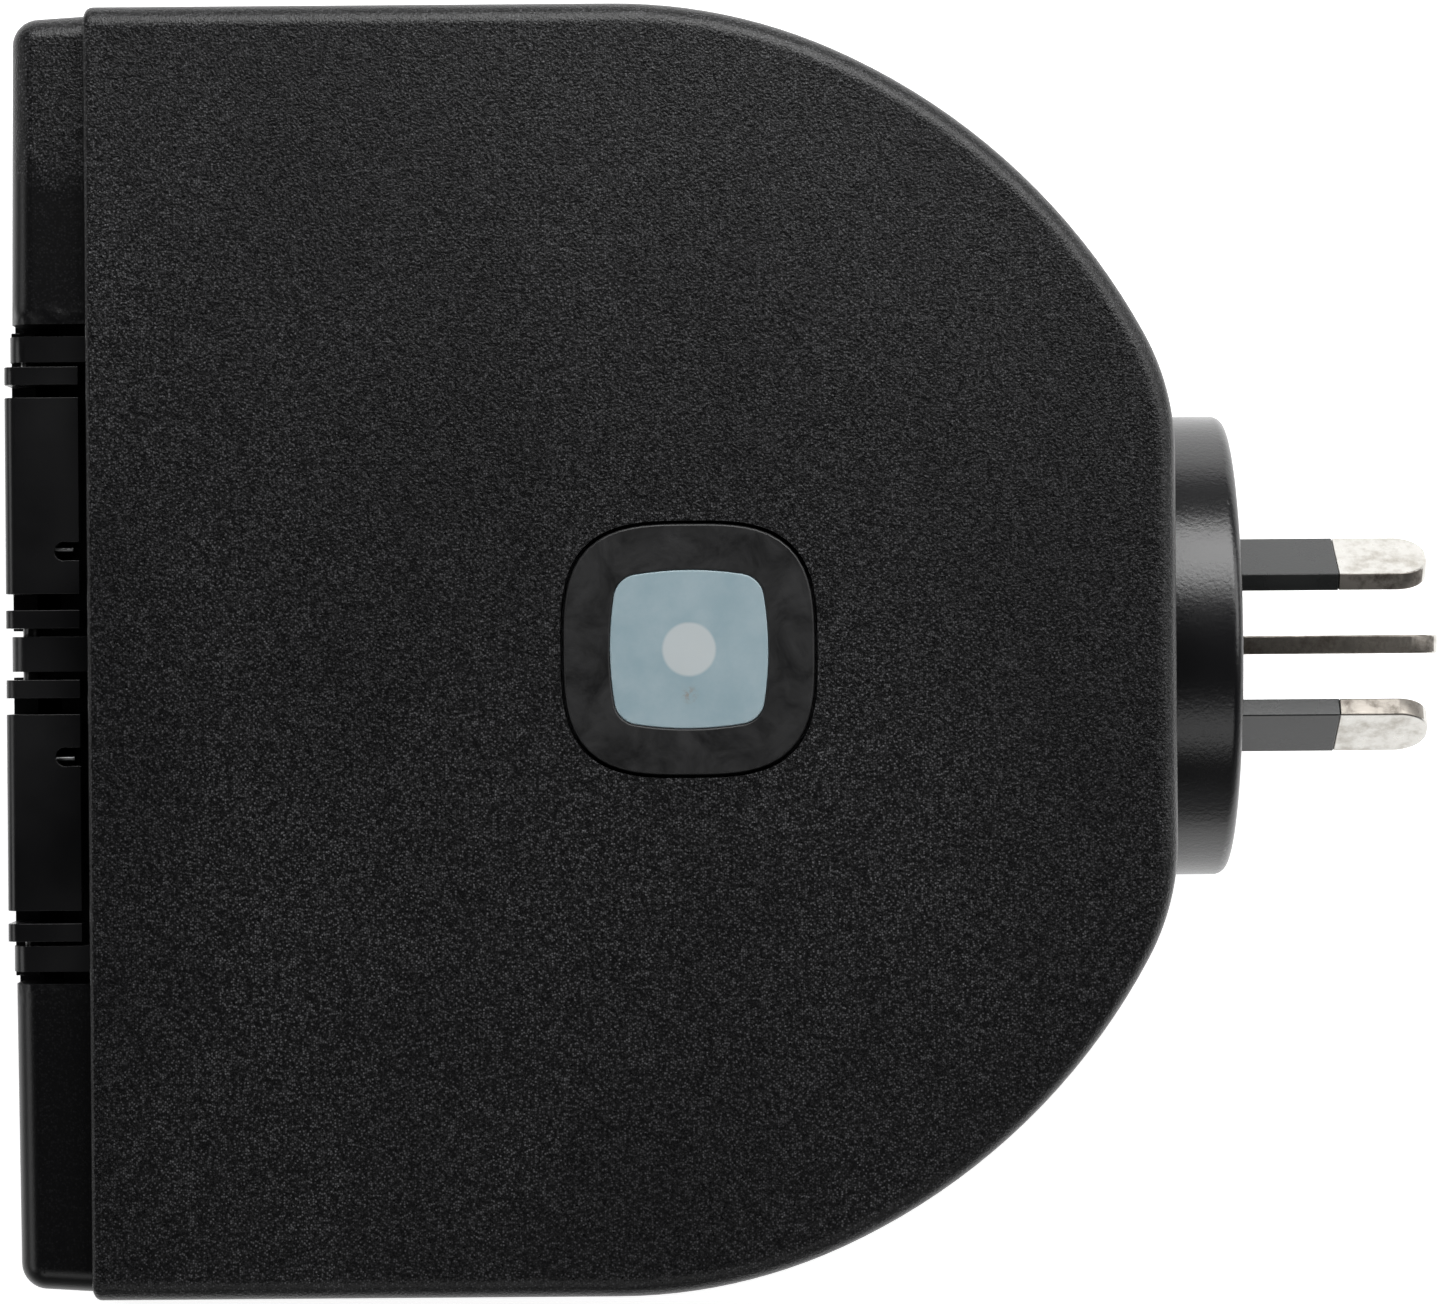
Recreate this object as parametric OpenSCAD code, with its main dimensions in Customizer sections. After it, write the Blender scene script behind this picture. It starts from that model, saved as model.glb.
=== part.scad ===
// Weatherproof twin smart plug: a D-plan case that plugs straight into a wall socket and
// offers two sprung-flap sockets on its front. Millimetres.
// Origin: centre of the plug's mating face. +Y points into the wall, -Y is the front,
// +Z is up (the button is on top), +X is right when facing the front.

/* [Case] */
// Half the width across the straight sides
body_half_w = 52.4; // [51.5:0.1:54]
// Height of the case, button face to underside
body_h = 56; // [54:0.5:64]
// Distance from the mating face to the front edge of the shells
body_depth = 94.3; // [92:0.1:97]
// Radius of the round rear of the plan
main_r = 53.2; // [52.6:0.1:54]
// Distance from the mating face to the centre of the round rear
main_centre = 55.4; // [55.0:0.1:55.8]
// Radius that blends each side into the round rear
side_blend_r = 44; // [40:1:46]
// Radius that blends the round rear into the flat behind the plug
flat_blend_r = 20; // [16:1:24]
// Wall thickness of the shells
wall = 2.4; // [2.2:0.1:2.6]
// Rounding of the upper and lower edges
edge_r = 1.8; // [0.8:0.1:2.1]

/* [Plug] */
// Diameter of the plug base
base_d = 39.4; // [38:0.1:40]
// Height of the plug base
base_h = 6.2; // [6:0.1:6.6]
// Rim rounding of the plug base
base_rim_r = 1.0; // [0.5:0.1:1.5]
// Sideways distance of the active and neutral pins from the plug axis
pin_x = 6.86; // [6.8:0.01:6.9]
// Height of the active and neutral pins above the plug axis
pin_z = 3.96; // [3.9:0.01:4.0]
// Distance of the earth pin below the plug axis
earth_z = 10.31; // [10.2:0.01:10.4]
// Width of a pin blade
pin_w = 6.35; // [6.2:0.01:6.4]
// Thickness of a pin blade
pin_t = 1.63; // [1.5:0.01:1.7]
// Length of the active and neutral pins
pin_len = 17.06; // [16.5:0.01:17.2]
// Length of the earth pin
earth_len = 19.94; // [19.5:0.01:20.3]
// Length of the insulation on the active and neutral pins
sleeve_len = 9.35; // [8:0.05:10]
// Lean of the active and neutral pins from upright
pin_lean = 30; // [29:1:31]

/* [Front] */
// Distance from the mating face to the front of the bezel
bezel_front = 100.8; // [100.4:0.1:101]
// Half width of the bezel where it meets the shells
bezel_half_w = 52.0; // [51.8:0.1:52.2]
// Half height of the bezel
bezel_half_h = 25.6; // [25.4:0.1:25.6]
// Distance from the mating face to the front of the flaps
flap_front = 101.3; // [101.2:0.1:101.6]
// Thickness of a flap's plate
flap_t = 2.0; // [1.8:0.1:2.0]
// Distance from the mating face to the face that a plug rests on
socket_face = 97.6; // [97.4:0.1:97.8]
// Distance of each socket from the middle of the case
socket_x = 25.5; // [25.2:0.1:25.8]
// Distance from the mating face to the flap hinge
hinge_y = 99.3; // [99.2:0.05:99.4]
// Height of the flap hinge above the plug axis
hinge_z = 23.3; // [23.2:0.05:23.4]
// Diameter of a hinge pip
pip_d = 1.5; // [1.3:0.1:1.6]
// Radial running clearance of a hinge pip
pip_gap = 0.05; // [0.03:0.01:0.1]

/* [Button] */
// Half width of the button
button_half = 10.15; // [9.9:0.05:10.3]
// Gap around the button
button_gap = 0.25; // [0.2:0.05:0.4]
// Squareness of the button's outline: 2 is round, 6 is nearly square
button_power = 3.2; // [2.6:0.1:4]
// Half width of the light window
window_half = 6.4; // [6:0.1:6.6]
// Radius of the bow of the light window's sides
window_side_r = 27.2; // [20:0.1:40]
// Radius of the light window's corners
window_corner_r = 2.05; // [1.5:0.05:3]
// Distance of the button's centre from the mating face
button_y = 45.7; // [44:0.1:47]
// Travel of the button
button_travel = 0.8; // [0.5:0.1:0.8]

/* [Hidden] */
$fn = 64;
eps = 0.01;
top_z = body_h / 2;
inner_z = top_z - wall;
front_y = -body_depth;
flat_y = -base_h;
centre_y = -main_centre;
inner_half = body_half_w - wall;

// Blend arcs: each is tangent to the round rear from inside and to its straight edge.
side_blend_x = body_half_w - side_blend_r;
side_blend_y = centre_y + sqrt(pow(main_r - side_blend_r, 2) - pow(side_blend_x, 2));
side_blend_a = atan2(side_blend_y - centre_y, side_blend_x);
flat_blend_y = flat_y - flat_blend_r;
flat_blend_x = sqrt(pow(main_r - flat_blend_r, 2) - pow(flat_blend_y - centre_y, 2));
flat_blend_a = atan2(flat_blend_y - centre_y, flat_blend_x);

// Front opening and hinge layout, as distances from the middle of the case
centre_lug = 1.42;
tab_in = [2.1, 3.57];
barrel = [4.9, 20.85];
tab_out = [21.9, 23.35];
lug_out = [23.72, 25.8];
pocket_half = 26.8;
opening_half = 49.7;
opening_top = 20.7;
shoulder_top = 18.3;
opening_bottom = -21.5;
opening_r = 3.4;
pocket_floor = 18.2;
rib_half = 2.0;
rib_front = -99.1;
lug_top = 25.3;
panel_back = 92.5;
flange_half_w = 48.8;
flange_half_h = 24.4;
flap_top = 20.0;
flap_shoulder = [26.4, 17.7];
flap_bottom = -21.1;
flap_side = [1.9, 49.3];
flap_corner_r = 3;
flange_back = 95.2;
flange_t = 1.4;
seal_r = [15.0, 17.0];
seal_z = -0.4;
slot_gap = 0.33;

// Screws and posts
boss_d = 7;
screw_d = 3;
screw_at = [[45, -82], [-45, -82], [36, -28], [-36, -28]];
counterbore_d = 6.2;
counterbore_top = -14;
board_z = -8;
board_t = 1.6;
board_top = board_z + board_t;
board_screw_at = [[34.5, -67.5], [-34.5, -67.5], [20, -22], [-20, -22]];
small_screw_d = 2;
bezel_screw_at = [[38, 23.15], [-38, 23.15], [38, -23.35], [-38, -23.35]];
switch_board_z = 16;
switch_board_screw_x = 15.6;
seam_from_front = 2.5;
tongue_inset = [0.7, 1.7];
tongue_h = 1.0;
groove_h = 2.2;
neck_d = 30;
neck_hole_d = 33;
label_size = [46, 26];
label_t = 0.2;

case_black = "#1b1b1c";
smooth_black = "#111112";

// ---------- shared outlines ----------

// Points along an arc.
function arc(centre, r, a0, a1, steps) =
    [for (i = [0:steps]) let (a = a0 + (a1 - a0) * i / steps)
        [centre.x + r * cos(a), centre.y + r * sin(a)]];

// One half (+X) of the case's plan from the front edge round to the flat, moved in by an inset.
function half_plan(inset, front) = concat(
    [[body_half_w - inset, front]],
    arc([side_blend_x, side_blend_y], side_blend_r - inset, 0, side_blend_a, 6),
    arc([0, centre_y], main_r - inset, side_blend_a + 4, flat_blend_a - 4, 8),
    arc([flat_blend_x, flat_blend_y], flat_blend_r - inset, flat_blend_a, 90, 6));

// The whole plan of the case.
module plan(inset = 0, front = front_y) {
    half = half_plan(inset, front);
    last = len(half) - 1;
    polygon(concat(half, [for (i = [0:last]) [-half[last - i].x, half[last - i].y]]));
}

// A case face plate of height h: its upper edge is rounded, its front edge is not.
module face_plate(h, r, steps = 4) {
    hull() {
        linear_extrude(eps) plan();
        for (i = [0:steps])
            let (a = 90 * i / steps)
            translate([0, 0, h - r + r * sin(a) - eps]) linear_extrude(eps) plan(r * (1 - cos(a)));
    }
}

// Rounded square with bowed sides, by the superellipse formula.
module squircle(half, power, steps = 72) {
    polygon([for (i = [0:steps - 1])
        let (a = 360 * i / steps, c = cos(a), s = sin(a),
             r = half / pow(pow(abs(c), power) + pow(abs(s), power), 1 / power))
        [r * c, r * s]]);
}

// A squircle prism between two heights.
module squircle_block(half, z0, z1) {
    translate([0, -button_y, z0]) linear_extrude(z1 - z0) squircle(half, button_power);
}

// The light window's prism between two heights: bowed sides and tight corners.
module window_block(z0, z1) {
    bow = window_side_r - window_half;
    reach = window_side_r - window_corner_r;
    k = (sqrt(2 * reach * reach - bow * bow) - bow) / 2;
    side_a = atan2(k, k + bow);
    step_a = (90 - 2 * side_a) / 8;
    translate([0, -button_y, z0]) linear_extrude(z1 - z0) polygon([for (q = [0:90:270])
        each concat(arc([-bow * cos(q), -bow * sin(q)], window_side_r, q - side_a, q + side_a, 8),
                    arc([k * (cos(q) - sin(q)), k * (cos(q) + sin(q))], window_corner_r,
                        q + side_a + step_a, q + 90 - side_a - step_a, 6))]);
}

// Rectangle with rounded corners, centred.
module round_rect(w, h, r) {
    square([w - 2 * r, h], center = true);
    square([w, h - 2 * r], center = true);
    for (x = [-1, 1], y = [-1, 1])
        translate([x * (w / 2 - r), y * (h / 2 - r)]) circle(r);
}

// Cylinder along Y from y0 to y1.
module y_rod(d, y0, y1) {
    translate([0, y1, 0]) rotate([90, 0, 0]) cylinder(d = d, h = y1 - y0);
}

// Cylinder along X from x0 to x1.
module x_rod(d, x0, x1) {
    translate([x0, 0, 0]) rotate([0, 90, 0]) cylinder(d = d, h = x1 - x0);
}

// Outline seen from the front (X, Z), given depth from y0 to y1.
module front_extrude(y0, y1) {
    translate([0, y1, 0]) rotate([90, 0, 0]) linear_extrude(y1 - y0) children();
}

// Outline in the side plane (Y, Z), given width from x0 to x1.
module side_extrude(x0, x1) {
    translate([x0, 0, 0]) rotate([90, 0, 90]) linear_extrude(x1 - x0) children();
}

// Box between two corners.
module box(low, high) {
    translate(low) cube(high - low);
}

// Mirrored copy for the left side.
module on_side(side) {
    mirror([side < 0 ? 1 : 0, 0, 0]) children();
}

// ---------- case ----------

// Rib or groove along the seam; it stops short of the front edge and of the plug neck.
module seam_band(inset0, inset1, z0, z1) {
    difference() {
        translate([0, 0, z0]) linear_extrude(z1 - z0) difference() {
            plan(inset0, front_y + seam_from_front);
            plan(inset1, front_y - 1);
        }
        box([-18, flat_y - 4, z0 - 1], [18, flat_y + 1, z1 + 1]);
    }
}

module plug_hole() {
    y_rod(neck_hole_d, flat_y - wall - 1, flat_y + 1);
}

module top_cover() {
    color(case_black) difference() {
        union() {
            translate([0, 0, inner_z]) face_plate(wall, edge_r);
            linear_extrude(inner_z + eps) difference() {
                plan(0);
                plan(wall, front_y - 1);
            }
            for (p = screw_at)
                translate([p.x, p.y, 0]) cylinder(d = boss_d, h = inner_z + eps);
            for (s = [-1, 1])
                translate([s * switch_board_screw_x, -button_y, switch_board_z + board_t])
                    cylinder(d = 4.6, h = inner_z - switch_board_z - board_t + eps);
            seam_band(tongue_inset[0], tongue_inset[1], -tongue_h, eps);
        }
        squircle_block(button_half + button_gap, inner_z - 1, top_z + 1);
        for (p = screw_at)
            translate([p.x, p.y, -1]) cylinder(d = screw_d, h = 12);
        for (s = [-1, 1])
            translate([s * switch_board_screw_x, -button_y, switch_board_z])
                cylinder(d = small_screw_d, h = 6.5);
        plug_hole();
    }
}

module lower_housing() {
    color(case_black) difference() {
        union() {
            translate([0, 0, -inner_z]) mirror([0, 0, 1]) face_plate(wall, edge_r);
            translate([0, 0, -inner_z - eps]) linear_extrude(inner_z + eps) difference() {
                plan(0);
                plan(wall, front_y - 1);
            }
            for (p = screw_at)
                translate([p.x, p.y, -inner_z - eps]) cylinder(d = boss_d + 2, h = inner_z + eps);
            for (p = board_screw_at)
                translate([p.x, p.y, -inner_z - eps])
                    cylinder(d = 6, h = inner_z + board_z + eps);
        }
        seam_band(tongue_inset[0], tongue_inset[1], -groove_h, 1);
        for (p = screw_at) translate([p.x, p.y, 0]) {
            translate([0, 0, -top_z - 1])
                cylinder(d = counterbore_d, h = top_z + 1 + counterbore_top);
            translate([0, 0, counterbore_top - 1]) cylinder(d = screw_d + 0.4, h = 20);
        }
        for (p = board_screw_at)
            translate([p.x, p.y, board_z - 8]) cylinder(d = small_screw_d, h = 9);
        translate([0, -58, -top_z - 1]) linear_extrude(1 + label_t + 0.05)
            round_rect(label_size.x + 0.4, label_size.y + 0.4, 1.7);
        plug_hole();
    }
}

module housing_gasket() {
    color("#2c2c2e") seam_band(tongue_inset[0], tongue_inset[1], -groove_h, -tongue_h);
}

// Pan-head screw standing on its head, shank up: a cross recess is cut in the head.
module screw(d, length, head_d, head_h) {
    slot = head_d * 0.16;
    difference() {
        union() {
            cylinder(d = d, h = length);
            translate([0, 0, -head_h]) cylinder(d = head_d, h = head_h);
        }
        for (a = [0, 90]) rotate([0, 0, a])
            translate([-head_d * 0.3, -slot / 2, -head_h - 1]) cube([head_d * 0.6, slot, 1 + head_h * 0.6]);
    }
}

module small_screw(length) {
    screw(small_screw_d, length, 3.8, 1.5);
}

module housing_screws() {
    color("#8a8c8e") for (p = screw_at)
        translate([p.x, p.y, counterbore_top]) screw(screw_d, -counterbore_top + 10, 5.6, 2.2);
}

module rating_label() {
    color("#3a3b3d") translate([0, -58, -top_z + 0.05]) linear_extrude(label_t)
        round_rect(label_size.x, label_size.y, 1.5);
}

// ---------- front ----------

// Plan of the bezel: slight draft and rounded front corners.
module bezel_plan() {
    r = 1.6;
    corner_x = bezel_half_w - 0.25 - r;
    corner_y = -bezel_front + r;
    polygon(concat([[-bezel_half_w, front_y], [bezel_half_w, front_y]],
                   arc([corner_x, corner_y], r, 0, -90, 6),
                   arc([-corner_x, corner_y], r, -90, -180, 6)));
}

// Opening of the front, seen from the front; the middle is open to the top for the hinges.
module front_opening(clear = 0) {
    w = 2 * (opening_half - clear);
    h = shoulder_top - opening_bottom - 2 * clear;
    translate([0, (shoulder_top + opening_bottom) / 2]) round_rect(w, h, opening_r);
    translate([-opening_half + clear, shoulder_top - 6]) square([w, 6 - clear]);
}

module front_bezel() {
    r = 1.5;
    color(case_black) difference() {
        intersection() {
            translate([0, 0, -bezel_half_h]) linear_extrude(2 * bezel_half_h) bezel_plan();
            side_extrude(-60, 60) translate([front_y, 0]) {
                square([2 * (bezel_front - body_depth - r), 2 * bezel_half_h], center = true);
                square([2 * (bezel_front - body_depth), 2 * (bezel_half_h - r)], center = true);
                for (s = [-1, 1]) translate([body_depth - bezel_front + r, s * (bezel_half_h - r)]) circle(r);
            }
            front_extrude(-110, -90) round_rect(2 * bezel_half_w, 2 * bezel_half_h, 1.2);
        }
        front_extrude(-110, -90) {
            front_opening();
            translate([-pocket_half, opening_top - 6]) square([2 * pocket_half, 20]);
        }
        for (s = [-1, 1]) front_extrude(-110, -98.6)
            translate([s * socket_x, opening_bottom]) round_rect(18, 5, 2.4);
        for (p = bezel_screw_at)
            translate([p.x, 0, p.y]) y_rod(small_screw_d, front_y - 4.5, front_y + 1);
    }
}

// Outline of a hinge lug from the side.
module lug_side() {
    r = 1.4;
    front = -bezel_front - 0.05;
    translate([front, opening_top]) square([front_y - front, lug_top - r - opening_top]);
    translate([front + r, opening_top]) square([front_y - front - r, lug_top - opening_top]);
    translate([front + r, lug_top - r]) circle(r);
}

// Places its child at each pin position of a plug or socket face, the blade's width upright.
module at_pin(index) {
    x = [-pin_x, pin_x, 0][index];
    z = [pin_z, pin_z, -earth_z][index];
    translate([x, 0, z]) rotate([0, [pin_lean, -pin_lean, 0][index], 0]) children();
}

module socket_slots() {
    for (i = [0:2]) at_pin(i)
        box([-pin_t / 2 - slot_gap, -socket_face - 1, -pin_w / 2 - slot_gap],
            [pin_t / 2 + slot_gap, -panel_back + 1, pin_w / 2 + slot_gap]);
}

module socket_panel() {
    clear = 0.1;
    color(smooth_black) difference() {
        union() {
            front_extrude(-socket_face, front_y + eps) difference() {
                front_opening(clear);
                translate([-pocket_half + clear, pocket_floor])
                    square([2 * (pocket_half - clear), 20]);
            }
            front_extrude(front_y, -panel_back) round_rect(2 * flange_half_w, 2 * flange_half_h, 2);
            side_extrude(-centre_lug, centre_lug) translate([-bezel_front - 0.05, opening_bottom + clear])
                square([bezel_front + 0.05 - body_depth, opening_top - opening_bottom]);
            box([-rib_half, rib_front, opening_bottom + clear], [rib_half, front_y, opening_top]);
            side_extrude(-centre_lug, centre_lug) lug_side();
            for (s = [-1, 1]) on_side(s) side_extrude(lug_out[0], lug_out[1]) lug_side();
        }
        translate([0, -hinge_y, hinge_z]) x_rod(pip_d + 2 * pip_gap, -30, 30);
        for (s = [-1, 1]) translate([s * socket_x, 0, 0]) socket_slots();
        for (p = bezel_screw_at)
            translate([p.x, 0, p.y]) y_rod(small_screw_d + 0.3, front_y - 1, -panel_back + 1);
    }
}

module front_gasket() {
    color("#2c2c2e") front_extrude(front_y, -panel_back) difference() {
        round_rect(2 * inner_half, 2 * inner_z, 0.5);
        round_rect(2 * flange_half_w, 2 * flange_half_h, 2);
    }
}

module bezel_screws() {
    color("#8a8c8e") for (p = bezel_screw_at)
        translate([p.x, -panel_back, p.y]) rotate([90, 0, 0]) small_screw(5.8);
}

// ---------- flaps ----------

// Side outline of the hinge flange: front wall and top, with its front edge rounded.
module flange_side(under) {
    r = 1.0;
    difference() {
        union() {
            translate([-flap_front, flap_top - 1])
                square([flap_front - flange_back, lug_top - r - flap_top + 1]);
            translate([-flap_front + r, flap_top - 1])
                square([flap_front - flange_back - r, lug_top - flap_top + 1]);
            translate([-flap_front + r, lug_top - r]) circle(r);
        }
        translate([-flap_front + flap_t, flap_top - 2])
            square([20, under - flap_top + 2]);
    }
}

// Flap plate from the front: its shoulder beside the hinge is lower, under the bezel's top bar.
module flap_plate() {
    width = flap_side[1] - flap_side[0];
    height = flap_shoulder[1] - flap_bottom;
    translate([flap_side[0], flap_bottom + height / 2]) {
        translate([width / 2, 0]) round_rect(width, height, flap_corner_r);
        square([width, height / 2]);
        square([flap_shoulder[0] - flap_side[0], flap_top - flap_bottom - height / 2]);
    }
}

module flap(side) {
    tab_under = hinge_z - 1.3;
    spring_x = [8.9, 13.5];
    color(smooth_black) on_side(side) difference() {
        union() {
            front_extrude(-flap_front, -flap_front + flap_t) flap_plate();
            side_extrude(barrel[0], barrel[1]) flange_side(lug_top - flange_t);
            side_extrude(tab_in[0], tab_in[1]) flange_side(tab_under);
            side_extrude(tab_out[0], tab_out[1]) flange_side(tab_under);
            translate([0, -hinge_y, hinge_z]) x_rod(pip_d, centre_lug - 0.8, tab_in[0] + eps);
            translate([0, -hinge_y, hinge_z]) x_rod(pip_d, tab_out[1] - eps, lug_out[1] - 0.4);
        }
        // pocket for the spring's coil, and the notch that lets its leg past
        translate([0, -hinge_y, hinge_z]) x_rod(3.0, spring_x[0], spring_x[1]);
        box([7.6, -flange_back - 1.2, 20.5], [9.1, -flange_back + 1, 27]);
        // groove that holds the flap's seal
        translate([socket_x, 0, seal_z]) difference() {
            y_rod(2 * seal_r[1], -flap_front + flap_t - 0.6, -flap_front + flap_t + 1);
            y_rod(2 * seal_r[0], -flap_front + flap_t - 0.7, -flap_front + flap_t + 2);
        }
    }
}

module flap_seal(side) {
    color("#39393c") translate([side * socket_x, 0, seal_z]) difference() {
        y_rod(2 * seal_r[1], -flap_front + flap_t - 0.6, -socket_face - 0.3);
        y_rod(2 * seal_r[0], -flap_front, -socket_face + 1);
    }
}

// Torsion spring: a close coil on the hinge line, as a tube, and two straight legs.
module flap_spring(side) {
    coil_r = 1.15;
    wire = 0.4;
    coil_x = [9.1, 13.1];
    leg = 2.9;
    leg_d = wire * 0.9;
    color("#b9bbbd") on_side(side) translate([0, -hinge_y, hinge_z]) {
        difference() {
            x_rod(2 * coil_r + wire, coil_x[0], coil_x[1]);
            x_rod(2 * coil_r - wire, coil_x[0] - 1, coil_x[1] + 1);
        }
        translate([coil_x[0] + wire, coil_r, -leg]) cylinder(d = leg_d, h = leg);
        translate([coil_x[1] - wire, 0, -coil_r]) y_rod(leg_d, 0, leg);
    }
}

// ---------- plug ----------

// Blade outline in the plane of its width and length, both corners of the tip rounded.
module blade(length, w, r) {
    translate([-w / 2, 0]) square([w, length - r]);
    translate([-w / 2 + r, 0]) square([w - 2 * r, length]);
    for (s = [-1, 1]) translate([s * (w / 2 - r), length - r]) circle(r);
}

// The blade outline given its thickness, its width upright and its length along Y.
module blade_solid(length, w, t, r) {
    rotate([0, 90, 0]) translate([0, 0, -t / 2]) linear_extrude(t) blade(length, w, r);
}

core_w = 4.75;
core_t = 0.95;
tail_y = -17;
pin_root = -4.5;
tip_r = 2.7;

module plug_base() {
    color("#17171a") difference() {
        union() {
            rotate([-90, 0, 0]) rotate_extrude() {
                translate([0, -base_h]) square([base_d / 2, base_h - base_rim_r]);
                translate([0, -base_h]) square([base_d / 2 - base_rim_r, base_h]);
                translate([base_d / 2 - base_rim_r, -base_rim_r]) circle(base_rim_r);
            }
            y_rod(neck_d, flat_y - wall - 1, flat_y + eps);
            y_rod(neck_hole_d + 1.6, flat_y - wall - 2.2, flat_y - wall - 0.15);
        }
        for (i = [0:1]) at_pin(i) {
            box([-pin_t / 2, pin_root, -pin_w / 2], [pin_t / 2, 1, pin_w / 2]);
            box([-core_t / 2, -20, -core_w / 2], [core_t / 2, 1, core_w / 2]);
        }
        at_pin(2) box([-pin_t / 2, -20, -pin_w / 2], [pin_t / 2, 1, pin_w / 2]);
    }
}

module plug_seal() {
    color("#39393c") difference() {
        y_rod(neck_hole_d, flat_y - wall + 0.2, flat_y);
        y_rod(neck_d, flat_y - wall - 1, flat_y + 1);
    }
}

// Active or neutral pin: full section at the tip, thinner core inside the sleeve and base.
module line_pin(index) {
    color("#c9c8c4") at_pin(index) {
        difference() {
            blade_solid(pin_len, pin_w, pin_t, tip_r);
            box([-2, -1, -5], [2, sleeve_len, 5]);
        }
        box([-core_t / 2, tail_y, -core_w / 2], [core_t / 2, sleeve_len + eps, core_w / 2]);
    }
}

module earth_pin() {
    color("#c9c8c4") at_pin(2) union() {
        blade_solid(earth_len, pin_w, pin_t, tip_r);
        box([-pin_t / 2, tail_y, -pin_w / 2], [pin_t / 2, eps, pin_w / 2]);
    }
}

module pin_sleeve(index) {
    color("#46484a") at_pin(index) difference() {
        box([-pin_t / 2, pin_root, -pin_w / 2], [pin_t / 2, sleeve_len, pin_w / 2]);
        box([-core_t / 2, pin_root - 1, -core_w / 2], [core_t / 2, sleeve_len + 1, core_w / 2]);
    }
}

// ---------- button ----------

button_under = top_z - 1.4;
seal_under = inner_z - 1.2;
skirt_under = seal_under - 1.5;
window_under = top_z - 1.8;
window_plate = 0.8;
post_under = 22.0;

module button_cap() {
    color("#1d1d1e") difference() {
        union() {
            squircle_block(button_half, button_under, top_z);
            squircle_block(button_half - 0.95, skirt_under, button_under + eps);
            squircle_block(button_half + 0.45, skirt_under, skirt_under + 1);
        }
        window_block(window_under - 1, top_z + 1);
        squircle_block(button_half - 2.1, skirt_under - 1, window_under);
    }
}

module light_window() {
    color("#9db2ba") {
        window_block(window_under - eps, top_z);
        squircle_block(button_half - 2.1, window_under - window_plate, window_under);
    }
}

module push_post() {
    color("#d9dcdc") translate([0, -button_y, post_under])
        cylinder(d = 4.3, h = window_under - window_plate - post_under);
}

module button_seal() {
    color("#39393c") difference() {
        squircle_block(button_half + 2.6, seal_under, inner_z);
        squircle_block(button_half - 0.65, seal_under - 1, inner_z + 1);
    }
}

module switch_board() {
    color("#1f5a3a") difference() {
        translate([0, -button_y, switch_board_z]) linear_extrude(board_t) round_rect(38, 20, 1.5);
        for (s = [-1, 1]) translate([s * switch_board_screw_x, -button_y, switch_board_z - 1])
            cylinder(d = small_screw_d + 0.2, h = 4);
    }
}

module switch_board_screws() {
    color("#8a8c8e") for (s = [-1, 1])
        translate([s * switch_board_screw_x, -button_y, switch_board_z]) small_screw(6);
}

tact_top = 21.1;
plunger_in = 0.6;

module tact_switch() {
    color("#202124") translate([0, -button_y, 0]) difference() {
        box([-3, -3, switch_board_z + board_t], [3, 3, tact_top]);
        translate([0, 0, tact_top - plunger_in - button_travel - 0.1]) cylinder(d = 3.6, h = 3);
    }
}

module switch_plunger() {
    color("#d8c9a0") translate([0, -button_y, tact_top - plunger_in])
        cylinder(d = 3.5, h = post_under - tact_top + plunger_in);
}

module status_led() {
    color("#e6d9a8") translate([4.8, -button_y + 0.2, 0])
        box([-1.4, -1.7, switch_board_z + board_t], [1.4, 1.7, switch_board_z + board_t + 1.9]);
}

// ---------- main board ----------

module main_board() {
    color("#1f5a3a") difference() {
        translate([0, 0, board_z]) linear_extrude(board_t) intersection() {
            plan(wall + 1.5);
            translate([-45, -71]) square([90, 53]);
        }
        for (p = screw_at) translate([p.x, p.y, board_z - 1]) cylinder(d = boss_d + 4, h = 4);
        for (p = board_screw_at)
            translate([p.x, p.y, board_z - 1]) cylinder(d = small_screw_d + 0.2, h = 4);
    }
}

module main_board_screws() {
    color("#8a8c8e") for (p = board_screw_at)
        translate([p.x, p.y, board_top]) mirror([0, 0, 1]) small_screw(7.5);
}

// A part of the board: a box of a given size standing on it.
module on_board(x, y, size, r = 0.6) {
    translate([x, y, board_top]) linear_extrude(size.z) round_rect(size.x, size.y, r);
}

module relay(side) {
    color("#1b4d8f") on_board(side * 22, -58, [19, 15.5, 15]);
}

module power_transformer() {
    color("#3b3a38") on_board(-17, -35, [14, 16, 3]);
    color("#d6b23a") on_board(-17, -35, [11, 9, 13]);
    color("#3b3a38") for (s = [-1, 1])
        translate([-17, -35 + s * 5.7, board_top]) box([-7, -2, 2.9], [7, 2, 13]);
}

module storage_capacitor() {
    color("#23305c") translate([3, -33, board_top]) cylinder(d = 10, h = 16);
}

module filter_capacitor() {
    color("#d9b430") on_board(22, -38, [18, 8, 13.5]);
}

module varistor() {
    color("#2d6aa8") translate([16, -28.5, board_top + 6.5]) y_rod(11, -2, 2);
}

module fuse() {
    color("#d7d7d2") translate([0, -21.5, board_top + 3]) x_rod(5.2, -10, 10);
    color("#b9bbbd") for (s = [-1, 1])
        translate([s * 7.5, -21.5, board_top]) box([-1.2, -1.5, 0], [1.2, 1.5, 2]);
}

module wifi_module() {
    color("#14513c") on_board(0, -59, [16, 21, 0.8], 0.3);
    color("#bfc1c3") translate([0, 0, 0.79]) on_board(0, -61.5, [14, 14, 2.4], 0.3);
}

// ---------- contacts and wiring ----------

contact_front = -91.6;
contact_back = -78;
carrier_back = -80;
strip_t = 0.8;

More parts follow.
